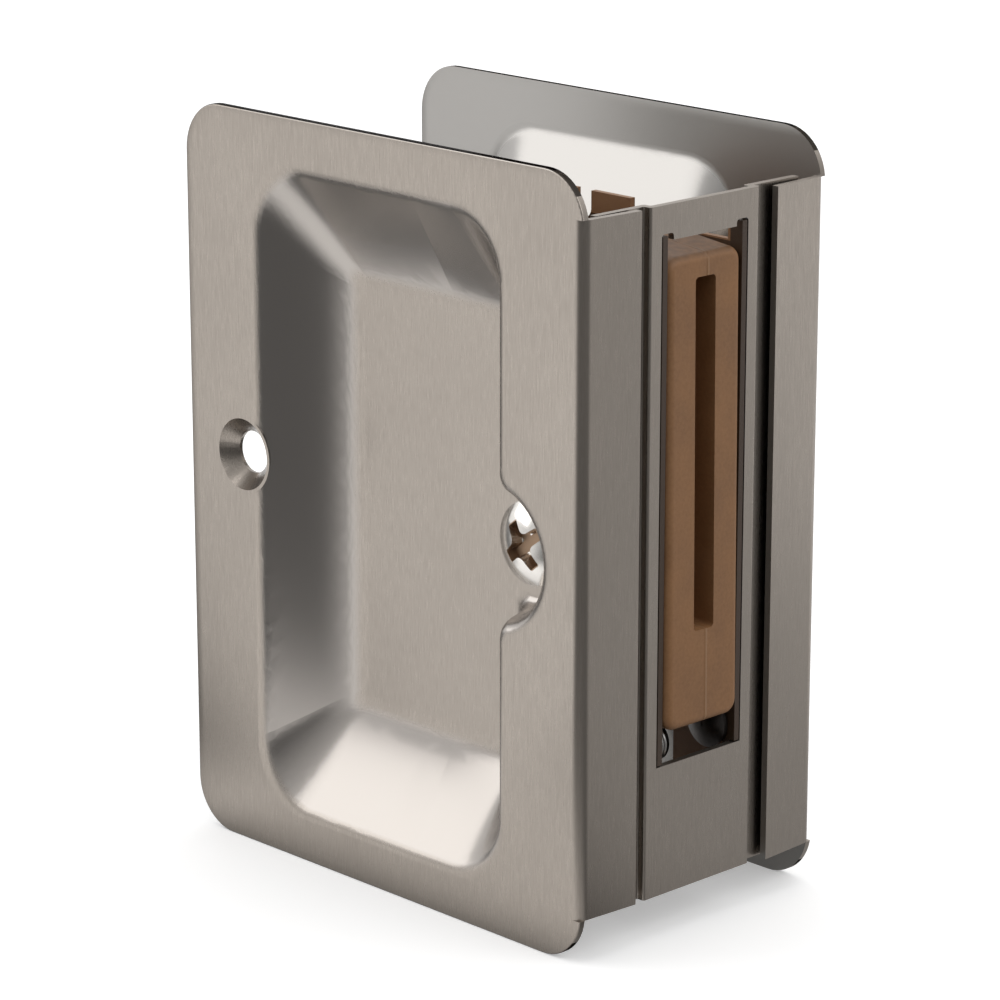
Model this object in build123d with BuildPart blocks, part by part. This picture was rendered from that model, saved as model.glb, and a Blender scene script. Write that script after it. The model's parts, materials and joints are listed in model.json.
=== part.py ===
from build123d import *
import os
from math import asin, atan, cos, degrees, hypot, pi, radians, sin, sqrt, tan

# Sliding door lock, all sizes in millimetres.
# X runs towards the door's edge, Y through the door, Z up.
# The origin is under the middle of the face plates, halfway through the lock.

# Face plates
plate_width = 69.85
plate_height = 95.25
plate_corner = 6.35
sheet = 0.9
flange_reach = 9.0
flange_low = 5.6
flange_top_inset = 5.25
flange_lean = 3.5
bend_radius = 1.4
rim_radius = 0.2

# Drawn cup: where its lip starts, and how far each wall runs in to the flat floor
cup_depth = 7.5
cup_inner_margin = 11.95
cup_edge_margin = 13.05
cup_end_margin = 5.5
cup_mouth_corner = 8.5
cup_floor_corner = 1.6
inner_wall_run = 13.0
end_wall_run = 15.9
lip_radius = 3.5
bowl_radius = 5.5
edge_wall_run = 5.3
edge_lip_radius = 1.3
edge_bowl_radius = 1.8

# Round relief in the cup's steep wall for the through screw
screw_inset = 15.5
relief_rim = 10.1
relief_wall_run = 3.7
relief_lip_radius = 2.0
relief_bowl_radius = 1.2
relief_shoulder = 1.8

# Dimpled hole for the screw that holds a plate to the door
face_hole_inset = 9.9
face_hole_height = 51.3
face_hole_radius = 2.7
dimple_radius = 4.6
dimple_depth = 1.8

# Edge plate
edge_low = 5.4
edge_top_inset = 5.25
flush_width = 18.5
near_gap = 1.85
far_gap = 2.65
wing_reach = 17.1
wing_clearance = 0.15
step_outer_radius = 0.35
step_inner_radius = 0.2

# Window in the edge plate
window_clearance = 0.2
window_low = 21.75
window_top_inset = 9.5
notch_width = 2.0
notch_rise = 0.85
notch_radius = 0.45

# Folded housing behind the window
housing_sheet = 0.8
housing_width = 14.25
housing_fold = 1.3
housing_back_inset = 31.85
housing_low = 24.0
housing_top_inset = 11.45
lug_top_inset = 8.95
lug_front_inset = 18.35
slot_inset = 26.25
slot_width = 2.6
slot_depth = 3.5
nose_depth = 2.3
nose_clearance = 0.2
tail_back_inset = 10.15
tail_low = 11.5
foot_width = 5.2
foot_height = 8.0

# Hinge of the edge pull
pivot_inset = 3.85
pivot_height = 23.6
rivet_radius = 1.5
far_head_radius = 3.1
near_head_radius = 2.5
rivet_head_height = 0.85
peen_radius = 2.3
peen_height = 0.5
hinge_clearance = 0.06
side_clearance = 0.1

# Steel yoke that carries the edge pull
yoke_sheet = 0.7
yoke_clearance = 0.17
yoke_low = 30.0
yoke_high = 46.0
yoke_front_inset = 2.45
yoke_fold = 0.9
eye_radius = 2.9
cross_pin_radius = 0.9
cross_pin_set_in = 2.35
low_pin_height = 30.9
high_pin_height = 43.0

# Moulded edge pull
pull_clearance = 0.15
pull_low = 25.9
pull_front_top_inset = 11.85
pull_back_top_inset = 10.85
pull_proud_low = 0.7
pull_proud_high = 0.1
pull_depth = 10.2
pull_corner = 1.8
pull_edge = 1.0
pull_slot_width = 3.4
pull_slot_low = 37.7
pull_slot_top_inset = 14.55
pull_slot_depth = 7.4
pull_slot_corner = 0.5
arm_pocket_clearance = 0.1
core_width = 2.4
core_depth = 6.5
core_low = 49.0
core_top_inset = 16.25
spring_pocket_high = 34.5
spring_pocket_inset = 2.65
head_relief = 0.3

# Torsion spring and the bush that it is wound round
wire_radius = 0.25
wire_bend = 0.8
coil_radius = 2.4
whole_turns = 1
coil_spread = 1.05
coil_clearance = 0.08
bush_radius = 1.95
moving_leg_high = 33.4
fixed_leg_inset = 12.25

# Through screw and the threaded post that it draws in
screw_radius = 2.4
screw_length = 19.0
screw_head_radius = 5.2
screw_head_rim = 0.6
screw_head_height = 2.3
recess_width = 1.8
recess_length = 6.2
recess_depth = 1.7
recess_corner = 0.8
recess_taper = 10
recess_turn = 38
post_radius = 3.2
post_length = 18.0
post_wall = 1.0
post_head_radius = 4.3
post_head_height = 1.3
thread_clearance = 0.06
hole_clearance = 0.1
tube_clearance = 0.3
tube_wall = 0.6

# Stop pin behind the top of the edge pull
stop_radius = 1.2
stop_top_inset = 16.25
stop_clearance = 0.3

# Places that follow from the sizes above
lock_depth = 2 * flange_reach + near_gap + flush_width + far_gap
near_face = -lock_depth / 2
far_face = lock_depth / 2
edge_middle = (near_gap - far_gap) / 2
inner_edge = -plate_width / 2
edge_face = plate_width / 2
mid_height = plate_height / 2
flange_high = plate_height - flange_top_inset
edge_high = plate_height - edge_top_inset
mouth_inner = inner_edge + cup_inner_margin
mouth_edge = edge_face - cup_edge_margin
mouth_height = plate_height - 2 * cup_end_margin
screw_x = edge_face - screw_inset
window_width = housing_width + 2 * window_clearance
window_high = plate_height - window_top_inset
housing_high = plate_height - housing_top_inset
lug_high = plate_height - lug_top_inset
pull_front_high = plate_height - pull_front_top_inset
pull_back_high = plate_height - pull_back_top_inset
pull_slot_high = plate_height - pull_slot_top_inset
core_high = plate_height - core_top_inset
stop_height = plate_height - stop_top_inset
pivot_x = edge_face - pivot_inset
wing_face = edge_face - sheet - wing_clearance
plate_back = edge_face - sheet
housing_inner = housing_width / 2 - housing_sheet
pull_width = 2 * (housing_inner - pull_clearance)
arm_outer = housing_inner - yoke_clearance
arm_inner = arm_outer - yoke_sheet
pull_back = edge_face + pull_proud_low - pull_depth
yoke_back = pull_back - side_clearance - yoke_sheet
cross_pin_x = pull_back + cross_pin_set_in
tube_inner = post_radius + tube_clearance
stop_x = pull_back - stop_clearance - stop_radius
anchor_x = edge_face - fixed_leg_inset
anchor_angle = asin(coil_radius / (pivot_x - anchor_x))
coil_turns = whole_turns + 0.75 + anchor_angle / (2 * pi)
coil_height = 2 * wire_radius * coil_spread * coil_turns
bush_length = coil_height + 2 * wire_radius + 2 * coil_clearance
far_head_under = arm_inner - side_clearance
near_head_under = far_head_under - bush_length - side_clearance


def facing(y):
    """Plane parallel to the door's faces, looking out of the near face."""
    return Plane.XZ.offset(-y)


# Cup plate: one stamping, used on both faces of the door
def wall_slope(run, radii):
    """Slope of a drawn wall between its lip and its bowl, in radians."""
    spare = 2 * radii - cup_depth
    return 2 * atan((run - sqrt(run**2 - spare * cup_depth)) / spare)


def wall_reach(level, run, lip, bowl, skin):
    """How far a drawn wall has come in from the start of its lip at this level."""
    slope = wall_slope(run, lip + bowl)
    lip_end = lip - (lip - skin) * cos(slope)
    bowl_start = cup_depth - bowl + (bowl + skin) * cos(slope)
    if level <= lip_end:
        return sqrt(max(0, (lip - skin) ** 2 - (lip - level) ** 2))
    if level >= bowl_start:
        return run - sqrt(max(0, (bowl + skin) ** 2 - (level - cup_depth + bowl) ** 2))
    share = (level - lip_end) / (bowl_start - lip_end)
    lip_reach = (lip - skin) * sin(slope)
    return lip_reach + share * (run - (bowl + skin) * sin(slope) - lip_reach)


inner_slope = wall_slope(inner_wall_run, lip_radius + bowl_radius)
end_slope = wall_slope(end_wall_run, lip_radius + bowl_radius)


def section_levels(skin):
    """Levels of the cup's sections, close together where its lip and bowl bend."""
    turns = [inner_slope * share for share in (0, 0.25, 0.5, 0.75, 1)]
    lip_levels = [lip_radius - (lip_radius - skin) * cos(turn) for turn in turns]
    bowl_centre = cup_depth - bowl_radius
    bowl_levels = [bowl_centre + (bowl_radius + skin) * cos(turn) for turn in reversed(turns)]
    straight = bowl_levels[0] - lip_levels[-1]
    wall_levels = [lip_levels[-1] + straight * share for share in (0.12, 0.5)]
    return lip_levels + wall_levels + bowl_levels


def cup_form(skin):
    """Space in front of the stamping's skin, which lies this far under its face."""
    corner_growth = skin * (tan(inner_slope / 2) + tan(end_slope / 2)) / 2
    with BuildPart() as form:
        for level in section_levels(skin):
            share = (level - skin) / cup_depth
            inner_reach = wall_reach(level, inner_wall_run, lip_radius, bowl_radius, skin)
            end_reach = wall_reach(level, end_wall_run, lip_radius, bowl_radius, skin)
            edge_reach = wall_reach(
                level, edge_wall_run, edge_lip_radius, edge_bowl_radius, skin
            )
            relief_reach = wall_reach(
                level, relief_wall_run, relief_lip_radius, relief_bowl_radius, skin
            )
            inner_side = mouth_inner + inner_reach
            edge_side = mouth_edge - edge_reach
            relief_radius = relief_rim - relief_reach
            corner = cup_mouth_corner + share * (cup_floor_corner - cup_mouth_corner)
            with BuildSketch(facing(level)) as section:
                with Locations(((inner_side + edge_side) / 2, mid_height)):
                    RectangleRounded(
                        edge_side - inner_side,
                        mouth_height - 2 * end_reach,
                        corner + corner_growth,
                    )
                with Locations((screw_x, mid_height)):
                    Circle(relief_radius)
                # The relief runs out into the steep wall with a rounded shoulder.
                meeting = section.vertices().filter_by(
                    lambda v: abs(v.X - edge_side) < sheet / 100
                    and abs(v.Y - mid_height) < relief_radius
                )
                fillet(meeting, relief_shoulder)
        loft()
        with BuildSketch(facing(skin)):
            with Locations((0, mid_height)):
                RectangleRounded(plate_width, plate_height, plate_corner)
        extrude(amount=skin + sheet)
    return form.part


cup_front = cup_form(0)
cup_back = cup_form(sheet)

flange_angle = radians(90 - flange_lean)
bend_centre = (edge_face - bend_radius, bend_radius)
bend_end = (
    bend_centre[0] + bend_radius * sin(flange_angle),
    bend_centre[1] - bend_radius * cos(flange_angle),
)
flange_end = (
    bend_end[0] + flange_reach * tan(radians(flange_lean)),
    bend_end[1] + flange_reach,
)
face_hole_x = inner_edge + face_hole_inset

with BuildPart() as cup_stamping:
    add(cup_back)
    add(cup_front, mode=Mode.SUBTRACT)
    face_edges = cup_stamping.edges().filter_by_position(Axis.Y, 0, 0)
    face_rim = face_edges.filter_by(
        lambda e: abs(e.center().X) > plate_width / 2 - plate_corner
        or abs(e.center().Z - mid_height) > plate_height / 2 - plate_corner
    )
    fillet(face_rim.filter_by(lambda e: e.center().Y < rim_radius), rim_radius)
    # Strip that the bent flange takes the place of
    strip_height = flange_high - flange_low
    with Locations((edge_face - bend_radius, 0, flange_low)):
        Box(
            2 * bend_radius,
            sheet,
            strip_height,
            align=(Align.MIN, Align.MIN, Align.MIN),
            mode=Mode.SUBTRACT,
        )
    with BuildSketch(Plane.XY.offset(flange_low)):
        with BuildLine():
            Line((bend_centre[0] - sheet, 0), (bend_centre[0], 0))
            CenterArc(bend_centre, bend_radius, -90, 90 - flange_lean)
            Line(bend_end, flange_end)
            offset(amount=sheet, side=Side.LEFT)
        make_face()
        with Locations((edge_face, flange_reach / 2)):
            Rectangle(4 * bend_radius, flange_reach, mode=Mode.INTERSECT)
    extrude(amount=strip_height)
    # Dimple that lets the face screw's head sit flush
    dimple_plane = Plane((face_hole_x, 0, face_hole_height), x_dir=(-1, 0, 0), z_dir=(0, 1, 0))
    dimple_foot = face_hole_radius + sheet / 2
    with Locations(dimple_plane):
        Cone(
            dimple_radius + sheet / 2,
            dimple_foot,
            dimple_depth + sheet / 2,
            align=(Align.CENTER, Align.CENTER, Align.MIN),
        )
        Cone(
            dimple_radius,
            face_hole_radius,
            dimple_depth,
            align=(Align.CENTER, Align.CENTER, Align.MIN),
            mode=Mode.SUBTRACT,
        )
        Cylinder(face_hole_radius, 4 * dimple_depth, mode=Mode.SUBTRACT)
    # Hole in the relief's floor for the screw or the post
    with Locations(Plane((screw_x, cup_depth, mid_height), z_dir=(0, 1, 0))):
        Cylinder(post_radius + hole_clearance, 4 * sheet, mode=Mode.SUBTRACT)

with BuildPart() as near_cup_plate:
    add(cup_stamping.part.moved(Location((0, near_face, 0))))

with BuildPart() as far_cup_plate:
    add(cup_stamping.part.moved(Location((0, far_face, plate_height), (180, 0, 0))))


# Edge plate: flush middle with a wing stepped in under each flange
with BuildPart() as edge_plate:
    half_flush = flush_width / 2
    with BuildSketch(Plane.XY.offset(edge_low)) as joggle:
        with BuildLine():
            Polyline(
                (edge_face, edge_middle),
                (edge_face, edge_middle + half_flush),
                (wing_face, edge_middle + half_flush),
                (wing_face, edge_middle + wing_reach),
                (wing_face - sheet, edge_middle + wing_reach),
                (wing_face - sheet, edge_middle + half_flush - sheet),
                (plate_back, edge_middle + half_flush - sheet),
                (plate_back, edge_middle),
                close=True,
            )
        make_face()
        mirror(about=Plane.XZ.offset(-edge_middle))
        steps = joggle.vertices().filter_by(lambda v: abs(v.Y - edge_middle) < half_flush + sheet / 2)
        outer_steps = steps.filter_by(lambda v: v.X > edge_face - sheet / 2)
        outer_steps += steps.filter_by(lambda v: v.X < wing_face - sheet / 2)
        fillet(outer_steps, step_outer_radius)
        steps = joggle.vertices().filter_by(lambda v: abs(v.Y - edge_middle) < half_flush + sheet / 2)
        inner_steps = steps.filter_by(lambda v: abs(v.X - wing_face) < step_inner_radius / 4)
        inner_steps += steps.filter_by(lambda v: abs(v.X - plate_back) < step_inner_radius / 4)
        fillet(inner_steps, step_inner_radius)
    extrude(amount=edge_high - edge_low)
    window_height = window_high - window_low
    with BuildSketch(Plane.YZ.offset(plate_back - sheet)):
        with Locations((edge_middle, window_low)):
            Rectangle(window_width, window_height, align=(Align.CENTER, Align.MIN))
        for side in (-1, 1):
            notch_y = edge_middle + side * (window_width - notch_width) / 2
            with Locations((notch_y, window_high - notch_rise)):
                RectangleRounded(
                    notch_width,
                    2 * notch_rise,
                    notch_radius,
                    align=(Align.CENTER, Align.MIN),
                )
    extrude(amount=3 * sheet, mode=Mode.SUBTRACT)


# Housing: U of sheet with lugs and slots on top, noses in the window, feet below
housing_rear = edge_face - housing_back_inset
tail_rear = edge_face - tail_back_inset
lug_end = edge_face - lug_front_inset
nose_back = edge_face - nose_depth
nose_low = window_low + nose_clearance
with BuildPart() as pull_housing:
    with BuildSketch(Plane.XY.offset(tail_low)):
        with BuildLine():
            near_wall = edge_middle - housing_width / 2
            far_wall = edge_middle + housing_width / 2
            FilletPolyline(
                (edge_face, near_wall),
                (housing_rear, near_wall),
                (housing_rear, far_wall),
                (edge_face, far_wall),
                radius=housing_fold,
            )
            offset(amount=housing_sheet, side=Side.RIGHT)
        make_face()
    extrude(amount=lug_high - tail_low)
    # Side outline of both walls, cut through the folded sheet
    with BuildSketch(facing(edge_middle - housing_width)) as outline:
        with BuildLine():
            Polyline(
                (housing_rear, housing_low),
                (tail_rear, housing_low),
                (tail_rear, tail_low),
                (plate_back, tail_low),
                (plate_back, nose_low),
                (edge_face, nose_low),
                (edge_face, lug_high),
                (nose_back, lug_high),
                (nose_back, housing_high),
                (lug_end, housing_high),
                (lug_end, lug_high),
                (housing_rear, lug_high),
                close=True,
            )
        make_face()
        slot_low = lug_high - slot_depth
        with Locations((edge_face - slot_inset, slot_low + slot_width / 2)):
            Circle(slot_width / 2, mode=Mode.SUBTRACT)
            Rectangle(
                slot_width,
                slot_depth,
                align=(Align.CENTER, Align.MIN),
                mode=Mode.SUBTRACT,
            )
        with Locations((screw_x, mid_height)):
            Circle(tube_inner, mode=Mode.SUBTRACT)
        with Locations((pivot_x, pivot_height)):
            Circle(rivet_radius, mode=Mode.SUBTRACT)
        with Locations((stop_x, stop_height)):
            Circle(stop_radius, mode=Mode.SUBTRACT)
    extrude(amount=-2 * housing_width, mode=Mode.INTERSECT)
    # Feet that turn inwards behind the edge plate, welded to it
    for side in (-1, 1):
        foot_y = edge_middle + side * (housing_width / 2 - foot_width / 2)
        with Locations((plate_back - housing_sheet / 2, foot_y, tail_low + foot_height / 2)):
            Box(housing_sheet, foot_width, foot_height)

with BuildPart() as spacer_tube:
    with BuildSketch(facing(edge_middle - housing_inner)):
        with Locations((screw_x, mid_height)):
            Circle(tube_inner + tube_wall)
            Circle(tube_inner, mode=Mode.SUBTRACT)
    extrude(amount=-2 * housing_inner)

with BuildPart() as stop_pin:
    with BuildSketch(facing(edge_middle - housing_width / 2 - peen_height)):
        with Locations((stop_x, stop_height)):
            Circle(stop_radius)
    extrude(amount=-housing_width - 2 * peen_height)
    fillet(stop_pin.edges().filter_by(GeomType.CIRCLE), peen_height / 2)


# Edge pull: moulded lever with a long finger slot
front_low = edge_face + pull_proud_low
front_high = edge_face + pull_proud_high
with BuildPart() as edge_pull:
    with BuildSketch(facing(edge_middle - pull_width / 2)):
        with BuildLine():
            Polyline(
                (pull_back, pull_low),
                (front_low, pull_low),
                (front_high, pull_front_high),
                (pull_back, pull_back_high),
                close=True,
            )
        make_face()
    extrude(amount=-pull_width)
    long_edges = edge_pull.edges().filter_by(
        lambda e: abs(e.center().Y - edge_middle) > pull_width / 2 - pull_edge
        and e.length < 1.5 * pull_depth
    )
    fillet(long_edges, pull_corner)
    front_face = edge_pull.faces().sort_by(Axis.X)[-1]
    fillet(front_face.edges(), pull_edge)
    with BuildSketch(Plane.YZ.offset(front_low)):
        with Locations((edge_middle, (pull_slot_low + pull_slot_high) / 2)):
            RectangleRounded(pull_slot_width, pull_slot_high - pull_slot_low, pull_slot_corner)
    extrude(amount=-pull_slot_depth, mode=Mode.SUBTRACT)
    # Coring from the back, on both sides of the slot
    core_y = (pull_slot_width + pull_width) / 4
    with BuildSketch(Plane.YZ.offset(pull_back)):
        with Locations((edge_middle, (core_low + core_high) / 2)):
            with Locations((-core_y, 0), (core_y, 0)):
                RectangleRounded(core_width, core_high - core_low, pull_slot_corner)
    extrude(amount=core_depth, mode=Mode.SUBTRACT)
    # Flat pockets in both sides for the yoke's arms
    pocket_depth = pull_width / 2 - arm_inner + arm_pocket_clearance
    for side in (-1, 1):
        pocket_y = edge_middle + side * (pull_width / 2 - pocket_depth / 2)
        with BuildSketch(facing(pocket_y - pocket_depth / 2)):
            with Locations((pull_back, pull_low)):
                Rectangle(
                    pivot_x + eye_radius - pull_back + arm_pocket_clearance,
                    yoke_high - pull_low + arm_pocket_clearance,
                    align=(Align.MIN, Align.MIN),
                )
        extrude(amount=-pocket_depth, mode=Mode.SUBTRACT)
    # Corner pocket for the spring and its leg
    pocket_front = edge_face - spring_pocket_inset
    with BuildSketch(facing(edge_middle - pull_width / 2)):
        with Locations((pull_back, pull_low)):
            Rectangle(
                pocket_front - pull_back,
                spring_pocket_high - pull_low,
                align=(Align.MIN, Align.MIN),
            )
    extrude(amount=near_head_under - pull_width / 2, mode=Mode.SUBTRACT)
    # Round relief in the underside over the rivets' heads
    with BuildSketch(facing(edge_middle - pull_width / 2)):
        with Locations((pivot_x, pivot_height)):
            Circle(far_head_radius + head_relief)
    extrude(amount=-pull_width, mode=Mode.SUBTRACT)
    # Bores for the two cross pins
    with BuildSketch(facing(edge_middle - pull_width / 2)):
        with Locations((cross_pin_x, low_pin_height), (cross_pin_x, high_pin_height)):
            Circle(cross_pin_radius)
    extrude(amount=-pull_width, mode=Mode.SUBTRACT)


# Yoke: folded steel strap whose eyes turn on the two rivets
yoke_front = edge_face - yoke_front_inset
with BuildPart() as pull_yoke:
    with BuildSketch(Plane.XY.offset(pivot_height - eye_radius)):
        with BuildLine():
            near_arm = edge_middle - arm_outer
            far_arm = edge_middle + arm_outer
            FilletPolyline(
                (edge_face, near_arm),
                (yoke_back, near_arm),
                (yoke_back, far_arm),
                (edge_face, far_arm),
                radius=yoke_fold,
            )
            offset(amount=yoke_sheet, side=Side.RIGHT)
        make_face()
    extrude(amount=yoke_high - pivot_height + eye_radius)
    with BuildSketch(facing(edge_middle - housing_width / 2)):
        with Locations((pivot_x, pivot_height)):
            Circle(eye_radius)
        with BuildLine():
            Polyline(
                (pivot_x - eye_radius, pivot_height),
                (pivot_x + eye_radius, pivot_height),
                (yoke_front, yoke_low),
                (yoke_front, yoke_high),
                (yoke_back, yoke_high),
                (yoke_back, yoke_low),
                close=True,
            )
        make_face()
        with Locations((pivot_x, pivot_height)):
            Circle(rivet_radius + hinge_clearance, mode=Mode.SUBTRACT)
        with Locations((cross_pin_x, low_pin_height), (cross_pin_x, high_pin_height)):
            Circle(cross_pin_radius, mode=Mode.SUBTRACT)
    extrude(amount=-housing_width, mode=Mode.INTERSECT)

with BuildPart() as yoke_pins:
    with BuildSketch(facing(edge_middle - arm_outer)):
        with Locations((cross_pin_x, low_pin_height), (cross_pin_x, high_pin_height)):
            Circle(cross_pin_radius)
    extrude(amount=-2 * arm_outer)


def pivot_rivet(head_under, head_radius):
    """Rivet through the near wall, with its domed head this far from the middle."""
    dome = (head_radius**2 + rivet_head_height**2) / (2 * rivet_head_height)
    wall_out = housing_width / 2
    with BuildPart() as rivet:
        with BuildSketch(Plane.YZ):
            with BuildLine():
                Polyline(
                    (-wall_out - peen_height, 0),
                    (-wall_out - peen_height, peen_radius),
                    (-wall_out, peen_radius),
                    (-wall_out, rivet_radius),
                    (-head_under, rivet_radius),
                    (-head_under, head_radius),
                )
                RadiusArc(
                    (-head_under, head_radius),
                    (-head_under + rivet_head_height, 0),
                    dome,
                )
                Line((-head_under + rivet_head_height, 0), (-wall_out - peen_height, 0))
            make_face()
        revolve(axis=Axis.Y)
    return rivet.part


with BuildPart() as near_pivot_rivet:
    near_rivet = pivot_rivet(near_head_under, near_head_radius)
    add(near_rivet.moved(Location((pivot_x, edge_middle, pivot_height))))

with BuildPart() as far_pivot_rivet:
    far_rivet = pivot_rivet(far_head_under, far_head_radius).rotate(Axis.Z, 180)
    add(far_rivet.moved(Location((pivot_x, edge_middle, pivot_height))))

with BuildPart() as spring_bush:
    with BuildSketch(facing(edge_middle - far_head_under)):
        with Locations((pivot_x, pivot_height)):
            Circle(bush_radius)
            Circle(rivet_radius, mode=Mode.SUBTRACT)
    extrude(amount=-bush_length)


# Torsion spring: its long leg draws the yoke's lower pin back into the housing
coil_start = edge_middle - far_head_under + coil_clearance + wire_radius
coil = Helix(
    pitch=coil_height / coil_turns,
    height=coil_height,
    radius=coil_radius,
    direction=(0, 1, 0),
)
coil = coil.rotate(Axis.Y, -degrees(anchor_angle))
coil = coil.moved(Location((pivot_x, coil_start, pivot_height)))
leg_x = cross_pin_x + cross_pin_radius + wire_radius + coil_clearance
leg_y = (coil @ 1).Y
anchor_z = housing_low - wire_radius - coil_clearance

with BuildPart() as torsion_spring:
    with BuildLine() as wire:
        FilletPolyline(
            (anchor_x, edge_middle - housing_width / 2, anchor_z),
            (anchor_x, coil_start, anchor_z),
            coil @ 0,
            radius=wire_bend,
        )
        add(coil)
        FilletPolyline(
            coil @ 1,
            (leg_x, leg_y, low_pin_height - cross_pin_radius),
            (leg_x, leg_y, moving_leg_high),
            radius=wire_bend,
        )
    with BuildSketch(Plane(origin=wire.line @ 0, z_dir=wire.line % 0)):
        Circle(wire_radius)
    sweep(path=wire.line)


# Through screw with a domed head and cross recess
def domed_head(radius, rim, height):
    """Head that stands on Z = 0: a straight rim under a dome."""
    rise = height - rim
    with BuildPart() as head:
        with BuildSketch(Plane.XZ):
            with BuildLine():
                Polyline((0, height), (0, 0), (radius, 0), (radius, rim))
                RadiusArc((radius, rim), (0, height), -(radius**2 + rise**2) / (2 * rise))
            make_face()
        revolve(axis=Axis.Z)
    return head.part


near_floor = near_face + cup_depth
far_floor = far_face - cup_depth

with BuildPart() as through_screw:
    head_plane = Plane((screw_x, near_floor, mid_height), x_dir=(1, 0, 0), z_dir=(0, -1, 0))
    head = domed_head(screw_head_radius, screw_head_rim, screw_head_height)
    add(head.moved(head_plane.location))
    with BuildSketch(head_plane):
        Circle(screw_radius)
    extrude(amount=-screw_length)
    chamfer(through_screw.faces().sort_by(Axis.Y)[-1].edges(), screw_radius / 4)
    with BuildSketch(head_plane.offset(screw_head_height)) as cross:
        Rectangle(recess_length, recess_width, rotation=recess_turn)
        Rectangle(recess_width, recess_length, rotation=recess_turn)
        fillet(cross.vertices().filter_by(lambda v: hypot(v.X, v.Y) < recess_width), recess_corner)
    extrude(amount=-recess_depth, taper=recess_taper, mode=Mode.SUBTRACT)

with BuildPart() as threaded_post:
    post_plane = Plane((screw_x, far_floor, mid_height), x_dir=(-1, 0, 0), z_dir=(0, 1, 0))
    add(domed_head(post_head_radius, post_wall / 2, post_head_height).moved(post_plane.location))
    with BuildSketch(post_plane):
        Circle(post_radius)
    extrude(amount=-post_length)
    with BuildSketch(post_plane.offset(-post_wall)):
        Circle(screw_radius + thread_clearance)
    extrude(amount=-post_length, mode=Mode.SUBTRACT)

near_cup_plate.part.label = "near_cup_plate"
far_cup_plate.part.label = "far_cup_plate"
edge_plate.part.label = "edge_plate"
pull_housing.part.label = "pull_housing"
spacer_tube.part.label = "spacer_tube"
stop_pin.part.label = "stop_pin"
edge_pull.part.label = "edge_pull"
pull_yoke.part.label = "pull_yoke"
yoke_pins.part.label = "yoke_pins"
near_pivot_rivet.part.label = "near_pivot_rivet"
far_pivot_rivet.part.label = "far_pivot_rivet"
spring_bush.part.label = "spring_bush"
torsion_spring.part.label = "torsion_spring"
through_screw.part.label = "through_screw"
threaded_post.part.label = "threaded_post"

os.makedirs("parts", exist_ok=True)
export_step(near_cup_plate.part, "parts/near_cup_plate.step")
export_step(far_cup_plate.part, "parts/far_cup_plate.step")
export_step(edge_plate.part, "parts/edge_plate.step")
export_step(pull_housing.part, "parts/pull_housing.step")
export_step(spacer_tube.part, "parts/spacer_tube.step")
export_step(stop_pin.part, "parts/stop_pin.step")
export_step(edge_pull.part, "parts/edge_pull.step")
export_step(pull_yoke.part, "parts/pull_yoke.step")
export_step(yoke_pins.part, "parts/yoke_pins.step")
export_step(near_pivot_rivet.part, "parts/near_pivot_rivet.step")
export_step(far_pivot_rivet.part, "parts/far_pivot_rivet.step")
export_step(spring_bush.part, "parts/spring_bush.step")
export_step(torsion_spring.part, "parts/torsion_spring.step")
export_step(through_screw.part, "parts/through_screw.step")
export_step(threaded_post.part, "parts/threaded_post.step")
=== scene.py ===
"""Looks of a sliding door lock: satin nickel plates, a brown edge pull and its works.

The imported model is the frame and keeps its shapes. The classes below dress its nodes,
one sub-assembly after another, and set up a plain studio round them.
"""

import json
import logging
import math
from dataclasses import dataclass, field
from enum import Enum

import bmesh
import bpy
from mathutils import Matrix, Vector

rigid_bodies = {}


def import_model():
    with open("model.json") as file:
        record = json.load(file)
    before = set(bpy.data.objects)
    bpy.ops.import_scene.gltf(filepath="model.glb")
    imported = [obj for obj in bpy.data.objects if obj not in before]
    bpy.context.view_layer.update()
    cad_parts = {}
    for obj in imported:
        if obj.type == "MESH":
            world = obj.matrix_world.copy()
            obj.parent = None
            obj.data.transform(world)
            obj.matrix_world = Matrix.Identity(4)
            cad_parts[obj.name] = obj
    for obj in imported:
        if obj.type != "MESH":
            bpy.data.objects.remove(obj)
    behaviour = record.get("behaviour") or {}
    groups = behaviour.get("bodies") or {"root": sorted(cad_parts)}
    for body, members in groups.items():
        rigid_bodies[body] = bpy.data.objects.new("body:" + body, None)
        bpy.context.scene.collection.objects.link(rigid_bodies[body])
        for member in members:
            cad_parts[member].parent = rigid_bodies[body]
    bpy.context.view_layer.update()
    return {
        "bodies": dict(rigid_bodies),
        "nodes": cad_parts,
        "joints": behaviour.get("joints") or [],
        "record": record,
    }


LOG = logging.getLogger("sliding_door_lock")
MM = 0.001

Colour = tuple[float, float, float]
Place = tuple[float, float, float]
Span = tuple[float, float]
Socket = bpy.types.NodeSocket

WHITE: Colour = (1.0, 1.0, 1.0)
NOWHERE: Place = (0.0, 0.0, 0.0)

# Nearly all of a noise lies in the first span, and most of it in the second.
NOISE_SPAN: Span = (0.3, 0.7)
NOISE_MIDDLE: Span = (0.35, 0.65)


class Slot(Enum):
    """The finishes, by the names of the record's material slots."""

    SATIN_NICKEL = "satin_nickel"
    BRIGHT_NICKEL = "bright_nickel"
    BROWN_ENAMEL = "brown_enamel"
    BROWN_PLASTIC = "brown_plastic"
    DARK_STEEL = "dark_steel"
    PLAIN_STEEL = "plain_steel"
    SPRING_STEEL = "spring_steel"


class Axis(Enum):
    """The part's axes: along the door, across its thickness and up."""

    X = "X"
    Y = "Y"
    Z = "Z"


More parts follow.
